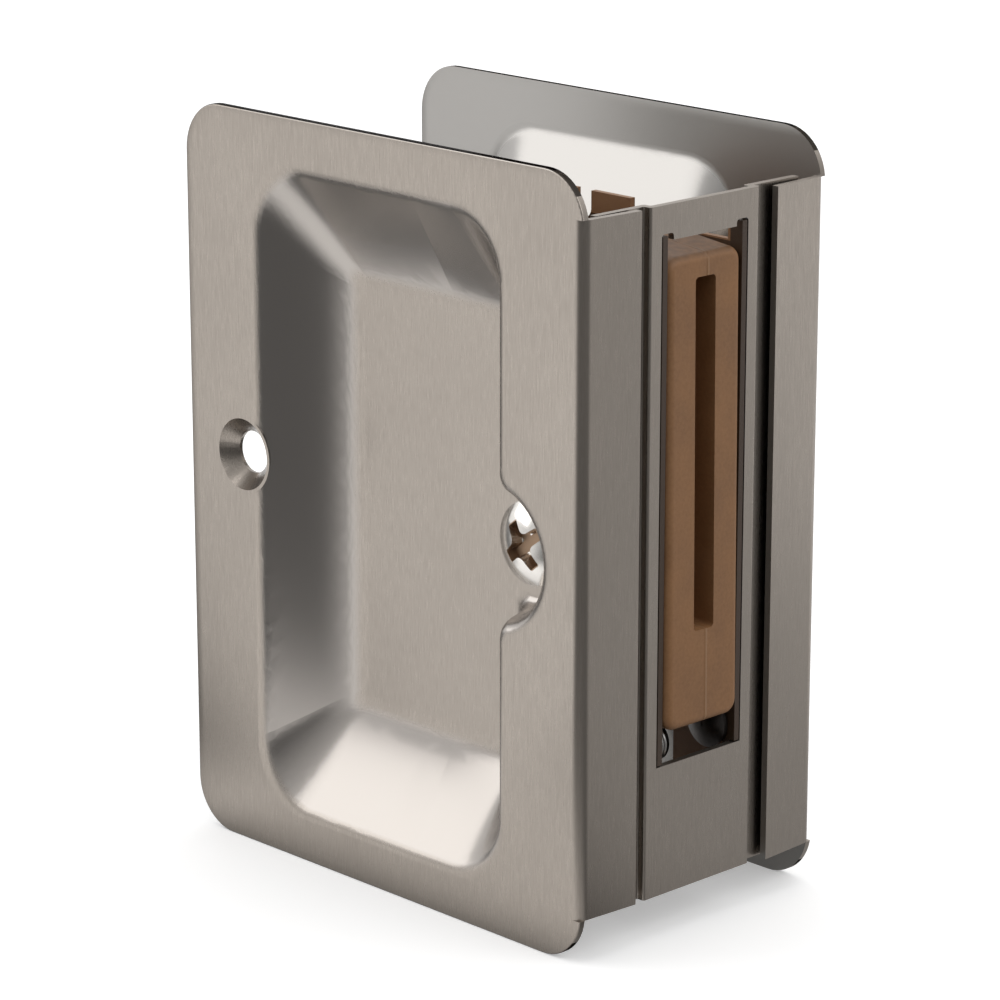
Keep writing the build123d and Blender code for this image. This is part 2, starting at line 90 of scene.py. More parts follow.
class NodeSheet:
    """A node tree, with short calls for the nodes that the finishes use."""

    # The Mix node has one pair of inputs and one output for each kind of value, all by
    # the same names, so they are told apart by their places.
    NUMBER_INPUTS = (2, 3)
    NUMBER_OUTPUT = 0
    COLOUR_INPUTS = (6, 7)
    COLOUR_OUTPUT = 2

    def __init__(self, tree: bpy.types.NodeTree, shader: str, output: str) -> None:
        """Start the tree with one shader on its output.

        Args:
            tree: The tree, which loses the nodes that it has.
            shader: The shader's kind, as Blender names it.
            output: The output's kind, as Blender names it.
        """
        self.tree = tree
        self.tree.nodes.clear()
        self.shader = self.tree.nodes.new(shader)
        self.coordinates = self.tree.nodes.new("ShaderNodeTexCoord")
        end = self.tree.nodes.new(output)
        self.link(self.shader.outputs[0], end.inputs["Surface"])

    def link(self, source: Socket, target: Socket) -> None:
        """Join two sockets."""
        self.tree.links.new(source, target)

    def spread(self, value: Socket, limits: Span, results: Span) -> Socket:
        """A value moved from one range to another and kept inside it.

        Args:
            value: The value to move.
            limits: The inputs that give the first and the second result.
            results: The two results.

        Returns:
            The moved value.
        """
        node = self.tree.nodes.new("ShaderNodeMapRange")
        node.inputs["From Min"].default_value, node.inputs["From Max"].default_value = limits
        node.inputs["To Min"].default_value, node.inputs["To Max"].default_value = results
        self.link(value, node.inputs["Value"])
        return node.outputs["Result"]

    def rising(self, value: Socket, limits: Span) -> Socket:
        """0 at the first limit and before it, and 1 from the second limit on."""
        return self.spread(value, limits, (0.0, 1.0))

    def falling(self, value: Socket, limits: Span) -> Socket:
        """1 at the first limit and before it, and 0 from the second limit on."""
        return self.spread(value, limits, (1.0, 0.0))

    def opposite(self, value: Socket) -> Socket:
        """1 less a value from 0 to 1."""
        return self.falling(value, (0.0, 1.0))

    def math(self, kind: str, first: Socket, second: Socket | float = 0.0) -> Socket:
        """One sum, product or comparison.

        Args:
            kind: The operation, as Blender names it.
            first: The first value.
            second: The second value, where the operation takes one.

        Returns:
            The result.
        """
        node = self.tree.nodes.new("ShaderNodeMath")
        node.operation = kind
        self.link(first, node.inputs[0])
        if isinstance(second, (int, float)):
            node.inputs[1].default_value = second
        else:
            self.link(second, node.inputs[1])
        return node.outputs["Value"]

    def times(self, first: Socket, *others: Socket | float) -> Socket:
        """The product of two or more values."""
        for other in others:
            first = self.math("MULTIPLY", first, other)
        return first

    def most(self, first: Socket, *others: Socket | float) -> Socket:
        """The largest of two or more values."""
        for other in others:
            first = self.math("MAXIMUM", first, other)
        return first

    def plus(self, first: Socket, second: Socket) -> Socket:
        """The sum of two values."""
        return self.math("ADD", first, second)

    def minus(self, first: Socket, second: Socket | float) -> Socket:
        """The first value less the second."""
        return self.math("SUBTRACT", first, second)

    def size(self, value: Socket) -> Socket:
        """A value without its sign."""
        return self.math("ABSOLUTE", value)

    def above(self, value: Socket, limit: float) -> Socket:
        """1 where a value is above a limit and 0 elsewhere."""
        return self.math("GREATER_THAN", value, limit)

    def below(self, value: Socket, limit: float) -> Socket:
        """1 where a value is below a limit and 0 elsewhere."""
        return self.math("LESS_THAN", value, limit)

    def shared(self, first: Socket, second: Socket, share: float) -> Socket:
        """The sum of a share of the first value and the rest of the second."""
        return self.plus(self.times(first, share), self.times(second, 1.0 - share))

    def vector(self, kind: str, first: Socket, second: Place = NOWHERE) -> Socket:
        """One step of vector arithmetic.

        Args:
            kind: The operation, as Blender names it.
            first: The first vector.
            second: The second vector, where the operation takes one.

        Returns:
            The resulting vector, or the value of a dot product or a length.
        """
        node = self.tree.nodes.new("ShaderNodeVectorMath")
        node.operation = kind
        self.link(first, node.inputs[0])
        node.inputs[1].default_value = second
        return node.outputs["Value" if kind in ("DOT_PRODUCT", "LENGTH") else "Vector"]

    def blend(self, factor: Socket, first: Socket, second: float) -> Socket:
        """A value and a number mixed by a factor.

        Args:
            factor: 0 gives the value and 1 the number.
            first: The value.
            second: The number.

        Returns:
            The mixed value.
        """
        node = self.tree.nodes.new("ShaderNodeMix")
        self.link(factor, node.inputs["Factor"])
        self.link(first, node.inputs[self.NUMBER_INPUTS[0]])
        node.inputs[self.NUMBER_INPUTS[1]].default_value = second
        return node.outputs[self.NUMBER_OUTPUT]

    def mix(self, factor: Socket, first: Colour | Socket, second: Colour | Socket) -> Socket:
        """Two colours mixed by a factor.

        Args:
            factor: 0 gives the first colour and 1 the second.
            first: A colour or a colour socket.
            second: A colour or a colour socket.

        Returns:
            The mixed colour.
        """
        node = self.tree.nodes.new("ShaderNodeMix")
        node.data_type = "RGBA"
        self.link(factor, node.inputs["Factor"])
        for colour, place in zip((first, second), self.COLOUR_INPUTS):
            if isinstance(colour, tuple):
                node.inputs[place].default_value = (*colour, 1.0)
            else:
                self.link(colour, node.inputs[place])
        return node.outputs[self.COLOUR_OUTPUT]

    def viewers(self) -> tuple[Socket, Socket]:
        """Tell the rays that see the background from the ones that only carry light.

        Returns:
            1 for camera rays, and 1 for camera, glossy and transmission rays.
        """
        path = self.tree.nodes.new("ShaderNodeLightPath")
        camera = path.outputs["Is Camera Ray"]
        through = self.most(path.outputs["Is Glossy Ray"], path.outputs["Is Transmission Ray"])
        return camera, self.most(camera, through)


class MaterialSheet(NodeSheet):
    """One material's node tree, with a Principled shader."""

    def __init__(self, name: str, metallic: float, roughness: float) -> None:
        """Start the material.

        Args:
            name: The material's name.
            metallic: 1 for bare or plated metal, 0 for paint, plastic and paper.
            roughness: The roughness where nothing is linked to it.
        """
        self.material = bpy.data.materials.new(name)
        self.material.use_nodes = True
        tree = self.material.node_tree
        super().__init__(tree, "ShaderNodeBsdfPrincipled", "ShaderNodeOutputMaterial")
        self.shader.inputs["Metallic"].default_value = metallic
        self.shader.inputs["Roughness"].default_value = roughness

    def part_of(self, source: str, axis: Axis) -> Socket:
        """One part of the object's coordinates or of its normal.

        Args:
            source: Object or Normal.
            axis: The axis of the part.

        Returns:
            The part.
        """
        node = self.tree.nodes.new("ShaderNodeSeparateXYZ")
        self.link(self.coordinates.outputs[source], node.inputs[0])
        return node.outputs[axis.value]

    def place(self, axis: Axis) -> Socket:
        """Where the surface lies along an axis of the part."""
        return self.part_of("Object", axis)

    def normal(self, axis: Axis) -> Socket:
        """How far the surface faces along an axis of the part."""
        return self.part_of("Normal", axis)

    def outward(self) -> Socket:
        """Above 0 on surfaces that face away from the door's middle, below 0 on others."""
        return self.times(self.normal(Axis.Y), self.place(Axis.Y))

    def noise(self, scale: Place | float, detail: float) -> Socket:
        """Cloud noise on the object's coordinates, as a value from 0 to 1.

        Args:
            scale: Repeats per metre, along X, Y and Z or the same along all three.
            detail: Octaves of the noise.

        Returns:
            The noise value.
        """
        mapping = self.tree.nodes.new("ShaderNodeMapping")
        scales = scale if isinstance(scale, tuple) else (scale, scale, scale)
        mapping.inputs["Scale"].default_value = scales
        self.link(self.coordinates.outputs["Object"], mapping.inputs["Vector"])
        node = self.tree.nodes.new("ShaderNodeTexNoise")
        node.inputs["Scale"].default_value = 1.0
        node.inputs["Detail"].default_value = detail
        self.link(mapping.outputs["Vector"], node.inputs["Vector"])
        return node.outputs["Fac"]

    def colour(self, source: Socket) -> None:
        """Give the shader its colour."""
        self.link(source, self.shader.inputs["Base Color"])

    def roughness(self, source: Socket) -> None:
        """Give the shader its roughness."""
        self.link(source, self.shader.inputs["Roughness"])

    def relief(self, height: Socket, depth: float, under: Socket | None = None) -> Socket:
        """Give the shader a fine relief.

        Args:
            height: The height, from 0 to 1.
            depth: The relief's depth in metres.
            under: The normal that the relief lies on, where there is one.

        Returns:
            The normal with the relief.
        """
        bump = self.tree.nodes.new("ShaderNodeBump")
        bump.inputs["Strength"].default_value = 1.0
        bump.inputs["Distance"].default_value = depth
        self.link(height, bump.inputs["Height"])
        if under is not None:
            self.link(under, bump.inputs["Normal"])
        self.link(bump.outputs["Normal"], self.shader.inputs["Normal"])
        return bump.outputs["Normal"]


class WorldSheet(NodeSheet):
    """The world's node tree, with one white background."""

    def __init__(self, world: bpy.types.World) -> None:
        """Start the world's nodes.

        Args:
            world: The world that gets the nodes.
        """
        super().__init__(world.node_tree, "ShaderNodeBackground", "ShaderNodeOutputWorld")
        self.shader.inputs["Color"].default_value = (*WHITE, 1.0)

    def along(self, way: Place) -> Socket:
        """How far a direction in the room lies along one way.

        Args:
            way: The way, of any length.

        Returns:
            The distance along the way, from -1 to 1.
        """
        unit = tuple(Vector(way).normalized())
        return self.vector("DOT_PRODUCT", self.coordinates.outputs["Generated"], unit)


@dataclass(frozen=True)
class BrushedNickel:
    """Satin nickel plate: brushed faces, drawn cup walls, folds and sheared edges."""

    slot: Slot = Slot.SATIN_NICKEL

    # Colours: the grain's two, the drawn walls', the inner skins', and the sheared edges':
    # their bare steel darkened nearly to black with painted shade.
    light: Colour = (0.39, 0.348, 0.308)
    dark: Colour = (0.315, 0.28, 0.247)
    wall: Colour = (0.415, 0.385, 0.358)
    inner: Colour = (0.395, 0.38, 0.362)
    sheared_edge_shade: Colour = (0.06, 0.053, 0.047)

    # Roughness: the grain's two, the drawn walls', the inner skins' and the folds'.
    smooth: float = 0.24
    rough: float = 0.34
    drawn: float = 0.24
    unbrushed: float = 0.33
    bent: float = 0.45

    # The grain runs up the plates: fine lines, broad lines and a faint cloud.
    fine_scale: Place = (9000.0, 9000.0, 600.0)
    broad_scale: Place = (4000.0, 4000.0, 260.0)
    cloud_scale: Place = (60.0, 60.0, 45.0)
    fine_share: float = 0.65
    grain_share: float = 0.8
    grain_depth: float = 0.002 * MM

    # Where the plates, their cups, flanges and rims lie.
    face: float = 20.5 * MM
    gauge: float = 1.1 * MM
    half_width: float = 34.925 * MM
    middle: float = 47.625 * MM
    corner: float = 6.35 * MM
    cup_depth: float = 7.5 * MM
    cup_start: float = -24.0 * MM
    flange_start: float = 30.0 * MM
    rim_up: float = 45.0 * MM
    rim_left: float = -32.3 * MM

    # How much of a normal lies across the door on the walls, the folds and the edges.
    wall_turn: Span = (0.9, 0.98)
    fold_turn: Span = (0.75, 0.98)
    edge_turn: float = 0.75

    # Reliefs in the shading: the walls' hollow, which ends before the round relief for
    # the screw, and the rims' roll.
    hollow: float = 0.9 * MM
    hollow_limits: Span = (6.0 * MM, 18.0 * MM)
    roll: float = 0.09 * MM
    roll_reach: float = 1.3 * MM

    def hollows(self, sheet: MaterialSheet) -> Socket:
        """The hollow run of the drawn cups' walls.

        The solid's walls are straight between their lip and their bowl. A drawn wall
        turns all the way into its bowl, so its shading is sunk most at half its depth.

        Args:
            sheet: The material's nodes.

        Returns:
            The height, from -1 at half depth to 0 at the lip and the bowl.
        """
        depth = sheet.minus(sheet.size(sheet.place(Axis.Y)), self.face)
        part = sheet.rising(depth, (0.0, -self.cup_depth))
        rest = sheet.spread(part, (0.0, 1.0), (-4.0, 0.0))
        here = sheet.falling(sheet.place(Axis.X), self.hollow_limits)
        outer = sheet.opposite(self.inner_skins(sheet))
        return sheet.times(part, rest, here, outer)

    def rolled(self, sheet: MaterialSheet) -> Socket:
        """The slight roll that stamping gives the plates' rims.

        Args:
            sheet: The material's nodes.

        Returns:
            The height, from 0 on the rim to 1 inside it.
        """
        left = sheet.times(sheet.place(Axis.X), -1.0)
        up = sheet.size(sheet.minus(sheet.place(Axis.Z), self.middle))
        past_left = sheet.minus(left, self.half_width - self.corner)
        past_end = sheet.minus(up, self.middle - self.corner)
        squares = [
            sheet.math("POWER", sheet.most(past, 0.0), 2.0) for past in (past_left, past_end)
        ]
        reach = sheet.math("SQRT", sheet.plus(*squares))
        part = sheet.rising(reach, (self.corner, self.corner - self.roll_reach))
        return sheet.times(part, sheet.spread(part, (0.0, 1.0), (2.0, 1.0)))

    def walls(self, sheet: MaterialSheet) -> Socket:
        """The drawn walls of the cups.

        Args:
            sheet: The material's nodes.

        Returns:
            1 on the walls and 0 elsewhere.
        """
        turned = sheet.falling(sheet.size(sheet.normal(Axis.Y)), self.wall_turn)
        after = sheet.above(sheet.place(Axis.X), self.cup_start)
        before = sheet.below(sheet.place(Axis.X), self.flange_start)
        return sheet.times(turned, after, before)

    def inner_skins(self, sheet: MaterialSheet) -> Socket:
        """1 on the skins that face the door and 0 elsewhere."""
        return sheet.below(sheet.outward(), -self.gauge)

    def edges(self, sheet: MaterialSheet) -> Socket:
        """The sheared edges of the cup plates.

        Args:
            sheet: The material's nodes.

        Returns:
            1 on the edges and 0 elsewhere.
        """
        outer = sheet.above(sheet.size(sheet.place(Axis.Y)), self.face - self.gauge)
        across = sheet.below(sheet.size(sheet.normal(Axis.Y)), self.edge_turn)
        up = sheet.size(sheet.minus(sheet.place(Axis.Z), self.middle))
        end = sheet.above(up, self.rim_up)
        rim = sheet.most(end, sheet.below(sheet.place(Axis.X), self.rim_left))
        return sheet.times(outer, across, rim)

    def folds(self, sheet: MaterialSheet) -> Socket:
        """The folds at the door's edge.

        Args:
            sheet: The material's nodes.

        Returns:
            1 on the folds and 0 elsewhere.
        """
        flat = sheet.most(sheet.size(sheet.normal(Axis.Y)), sheet.size(sheet.normal(Axis.X)))
        turned = sheet.falling(flat, self.fold_turn)
        return sheet.times(turned, sheet.above(sheet.place(Axis.X), self.flange_start))

    def build(self) -> bpy.types.Material:
        """Make the material.

        Returns:
            The material.
        """
        sheet = MaterialSheet(self.slot.value, 1.0, self.smooth)
        fine = sheet.noise(self.fine_scale, 3.0)
        broad = sheet.noise(self.broad_scale, 2.0)
        cloud = sheet.noise(self.cloud_scale, 3.0)
        grain = sheet.shared(fine, broad, self.fine_share)
        tone = sheet.shared(grain, cloud, self.grain_share)
        walls, inner, edges = self.walls(sheet), self.inner_skins(sheet), self.edges(sheet)

        brushed = sheet.mix(sheet.rising(tone, NOISE_SPAN), self.dark, self.light)
        skin = sheet.mix(inner, sheet.mix(walls, brushed, self.wall), self.inner)
        # The sheared edges get a near-black colour and specular tint: their bare steel with
        # painted shade on it.
        sheet.colour(sheet.mix(edges, skin, self.sheared_edge_shade))
        tint = sheet.mix(edges, WHITE, self.sheared_edge_shade)
        sheet.link(tint, sheet.shader.inputs["Specular Tint"])

        satin = sheet.spread(tone, NOISE_SPAN, (self.rough, self.smooth))
        satin = sheet.blend(inner, satin, self.unbrushed)
        satin = sheet.blend(self.folds(sheet), satin, self.bent)
        sheet.roughness(sheet.blend(walls, satin, self.drawn))

        lines = sheet.times(grain, sheet.opposite(sheet.most(walls, inner)))
        rim = sheet.relief(self.rolled(sheet), self.roll)
        wall = sheet.relief(self.hollows(sheet), self.hollow, rim)
        sheet.relief(lines, self.grain_depth, wall)
        return sheet.material


@dataclass(frozen=True)
class BrightNickel:
    """Polished nickel plate, with a brownish film in the screw's recess."""

    slot: Slot = Slot.BRIGHT_NICKEL
    light: Colour = (0.8, 0.77, 0.73)
    film: Colour = (0.36, 0.25, 0.17)
    smooth: float = 0.12
    rough: float = 0.24
    film_rough: float = 0.5
    cloud_scale: float = 300.0

    # The cross recess of the screw: its middle, its turn and its arms.
    centre_x: float = 19.425 * MM
    centre_z: float = 47.625 * MM
    turn: float = math.radians(38)
    arm: float = 3.15 * MM
    half_width: float = 0.72 * MM

    def recess(self, sheet: MaterialSheet) -> Socket:
        """The screw's cross recess.

        Args:
            sheet: The material's nodes.

        Returns:
            1 inside the recess and 0 outside it.
        """
        across = sheet.minus(sheet.place(Axis.X), self.centre_x)
        up = sheet.minus(sheet.place(Axis.Z), self.centre_z)
        cosine, sine = math.cos(self.turn), math.sin(self.turn)
        along = sheet.plus(sheet.times(across, cosine), sheet.times(up, sine))
        beside = sheet.minus(sheet.times(up, cosine), sheet.times(across, sine))
        arms = []
        for narrow, wide in ((along, beside), (beside, along)):
            inside = sheet.below(sheet.size(narrow), self.half_width)
            arms.append(sheet.times(inside, sheet.below(sheet.size(wide), self.arm)))
        near_side = sheet.below(sheet.place(Axis.Y), 0.0)
        return sheet.times(sheet.most(*arms), near_side)

    def build(self) -> bpy.types.Material:
        """Make the material.

        Returns:
            The material.
        """
        sheet = MaterialSheet(self.slot.value, 1.0, self.smooth)
        cloud = sheet.noise(self.cloud_scale, 3.0)
        recess = self.recess(sheet)
        sheet.colour(sheet.mix(recess, self.light, self.film))
        shine = sheet.spread(cloud, NOISE_SPAN, (self.smooth, self.rough))
        sheet.roughness(sheet.most(shine, sheet.times(recess, self.film_rough)))
        return sheet.material


@dataclass(frozen=True)
class BrownEnamel:
    """Brown lacquer on folded steel, with painted shade on its noses in the window and inside
    its upper end.
    """

    slot: Slot = Slot.BROWN_ENAMEL
    light: Colour = (0.32, 0.17, 0.085)
    dark: Colour = (0.2, 0.1, 0.048)
    # The nose colour is painted shade on the two noses in the window.
    nose_shade: Colour = (0.05, 0.028, 0.015)
    # The inside colour is painted shade on the inner faces at the housing's upper end.
    inside: Colour = (0.07, 0.037, 0.019)
    rough: Span = (0.36, 0.5)
    cloud_scale: float = 140.0
    speck_scale: float = 2600.0
    speck_depth: float = 0.006 * MM

    # Where the two noses in the window begin, which are painted dark as shade, and where the
    # painted shade inside the upper end lies.
    nose_start: float = 33.0 * MM
    inside_low: float = 72.0 * MM
    inside_high: float = 83.6 * MM
    inside_turn: float = -1.0 * MM

    def upper_inside(self, sheet: MaterialSheet) -> Socket:
        """The inner faces of the folded sides at their upper end, which get painted shade.

        Args:
            sheet: The material's nodes.

        Returns:
            1 on the faces and 0 elsewhere.
        """
        inward = sheet.below(sheet.outward(), self.inside_turn)
        over = sheet.above(sheet.place(Axis.Z), self.inside_low)
        under = sheet.below(sheet.place(Axis.Z), self.inside_high)
        return sheet.times(inward, over, under)

    def build(self) -> bpy.types.Material:
        """Make the material.

        Returns:
            The material.
        """
        sheet = MaterialSheet(self.slot.value, 0.0, self.rough[0])
        cloud = sheet.noise(self.cloud_scale, 4.0)
        speck = sheet.noise(self.speck_scale, 2.0)
        brown = sheet.mix(sheet.rising(cloud, NOISE_SPAN), self.dark, self.light)
        # Painted shade: the inner faces at the upper end turn dark brown.
        brown = sheet.mix(self.upper_inside(sheet), brown, self.inside)
        # Painted shade: the noses in the window turn nearly black.
        front = sheet.above(sheet.place(Axis.X), self.nose_start)
        sheet.colour(sheet.mix(front, brown, self.nose_shade))
        sheet.roughness(sheet.spread(speck, NOISE_SPAN, self.rough))
        sheet.relief(speck, self.speck_depth)
        return sheet.material


@dataclass(frozen=True)
class MouldedPlastic:
    """Matte brown moulding with a rough skin, a parting line and painted shade in blots on its
    upper faces.
    """

    slot: Slot = Slot.BROWN_PLASTIC
    light: Colour = (0.31, 0.155, 0.066)
    dark: Colour = (0.235, 0.114, 0.046)
    ridge: Colour = (0.34, 0.19, 0.095)
    top_shade: Colour = (0.06, 0.03, 0.013)
    rough: Span = (0.5, 0.64)
    cloud_scale: Place = (220.0, 220.0, 160.0)
    cloud_share: float = 0.6
    skin_scale: float = 2400.0

    # The parting line stands this high, and the skin has a share of that height.
    ridge_height: float = 0.1 * MM
    ridge_reach: float = 0.28 * MM
    ridge_share: float = 0.6
    skin_share: float = 0.12

    # The painted shade lies in blots on the faces above this height that look up, darkening
    # their lit tops.
    top_shade_low: float = 81.5 * MM
    top_shade_turn: Span = (0.35, 0.95)
    top_shade_most: float = 0.8
    blot_scale: float = 1200.0
    blot_shares: Span = (0.65, 0.95)

    def painted_top_shade(self, sheet: MaterialSheet) -> Socket:
        """The painted shade on the upper faces that look up.

        Args:
            sheet: The material's nodes.

        Returns:
            How dark the painted shade lies, from 0 to 1.
        """
        high = sheet.above(sheet.place(Axis.Z), self.top_shade_low)
        upward = sheet.spread(sheet.normal(Axis.Z), self.top_shade_turn, (0.0, self.top_shade_most))
        blots = sheet.noise(self.blot_scale, 4.0)
        return sheet.times(high, upward, sheet.spread(blots, NOISE_MIDDLE, self.blot_shares))

    def build(self) -> bpy.types.Material:
        """Make the material.

        Returns:
            The material.
        """
        sheet = MaterialSheet(self.slot.value, 0.0, self.rough[0])
        cloud = sheet.noise(self.cloud_scale, 5.0)
        skin = sheet.noise(self.skin_scale, 3.0)
        tone = sheet.shared(cloud, skin, self.cloud_share)
        body = sheet.mix(sheet.rising(tone, NOISE_MIDDLE), self.dark, self.light)
        line = sheet.falling(sheet.size(sheet.place(Axis.Y)), (0.0, self.ridge_reach))
        lined = sheet.mix(sheet.times(line, self.ridge_share), body, self.ridge)
        # Painted shade darkens the pull's upward faces at its top.
        sheet.colour(sheet.mix(self.painted_top_shade(sheet), lined, self.top_shade))
        sheet.roughness(sheet.spread(cloud, NOISE_SPAN, self.rough))
        sheet.relief(sheet.plus(sheet.times(skin, self.skin_share), line), self.ridge_height)
        return sheet.material


@dataclass(frozen=True)
class TurnedSteel:
    """Blackened, plain or drawn steel, told apart by colour and roughness."""

    slot: Slot
    light: Colour
    dark: Colour
    rough: Span
    cloud_scale: float = 500.0
    scratch_scale: Place = (900.0, 6000.0, 900.0)
    scratch_depth: float = 0.003 * MM

    def build(self) -> bpy.types.Material:
        """Make the material.

        Returns:
            The material.
        """
        sheet = MaterialSheet(self.slot.value, 1.0, self.rough[0])
        cloud = sheet.noise(self.cloud_scale, 4.0)
        scratch = sheet.noise(self.scratch_scale, 2.0)
        sheet.colour(sheet.mix(sheet.rising(cloud, NOISE_SPAN), self.dark, self.light))
        sheet.roughness(sheet.spread(scratch, NOISE_SPAN, self.rough))
        sheet.relief(scratch, self.scratch_depth)
        return sheet.material


@dataclass
class Finishes:
    """Every finish of the lock, made once and kept by its slot."""

    materials: dict[Slot, bpy.types.Material] = field(init=False)

    def __post_init__(self) -> None:
        """Make the materials."""
        black = TurnedSteel(
            Slot.DARK_STEEL, (0.11, 0.1, 0.095), (0.06, 0.055, 0.052), (0.28, 0.42)
        )
        plain = TurnedSteel(
            Slot.PLAIN_STEEL, (0.55, 0.54, 0.52), (0.42, 0.41, 0.4), (0.25, 0.4)
        )
        spring = TurnedSteel(
            Slot.SPRING_STEEL, (0.42, 0.41, 0.4), (0.28, 0.27, 0.26), (0.25, 0.38)
        )
        plated = (BrushedNickel(), BrightNickel())
        brown = (BrownEnamel(), MouldedPlastic())
        self.materials = {
            finish.slot: finish.build() for finish in (*plated, *brown, black, plain, spring)
        }


@dataclass
class FramePieces:
    """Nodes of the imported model, which keep their shapes and get their finishes."""

    frame: dict
    finishes: Finishes

    def dress(self, finish: Slot, *nodes: str) -> None:
        """Give nodes their finish.

        Args:
            finish: The finish.
            *nodes: The nodes' names.
        """
        material = self.finishes.materials[finish]
        for node in nodes:
            for slot in self.frame["nodes"][node].material_slots:
                slot.material = material
            LOG.info("%s wears %s", node, material.name)


@dataclass
class ClampingPlates(FramePieces):
    """The two cup plates with the screw and the post that draw them together."""

    def build(self) -> None:
        """Dress the plates and their fasteners."""
        self.dress(Slot.SATIN_NICKEL, "near_cup_plate", "far_cup_plate")
        self.dress(Slot.BRIGHT_NICKEL, "through_screw", "threaded_post")


@dataclass
class EdgeUnit(FramePieces):
    """The edge plate, the housing behind it and the pull's fixed works."""

    def build(self) -> None:
        """Dress the edge plate, the housing and the small parts."""
        self.dress(Slot.SATIN_NICKEL, "edge_plate")
        self.dress(Slot.BROWN_ENAMEL, "pull_housing")
        self.dress(Slot.PLAIN_STEEL, "spacer_tube", "stop_pin", "spring_bush")
        self.dress(Slot.DARK_STEEL, "near_pivot_rivet", "far_pivot_rivet")
        self.dress(Slot.SPRING_STEEL, "torsion_spring")


@dataclass
class EdgePull(FramePieces):
    """The moulded pull on its steel yoke."""

    def build(self) -> None:
        """Dress the pull, the yoke and its pins."""
        self.dress(Slot.BROWN_PLASTIC, "edge_pull")
        self.dress(Slot.DARK_STEEL, "pull_yoke")
        self.dress(Slot.PLAIN_STEEL, "yoke_pins")


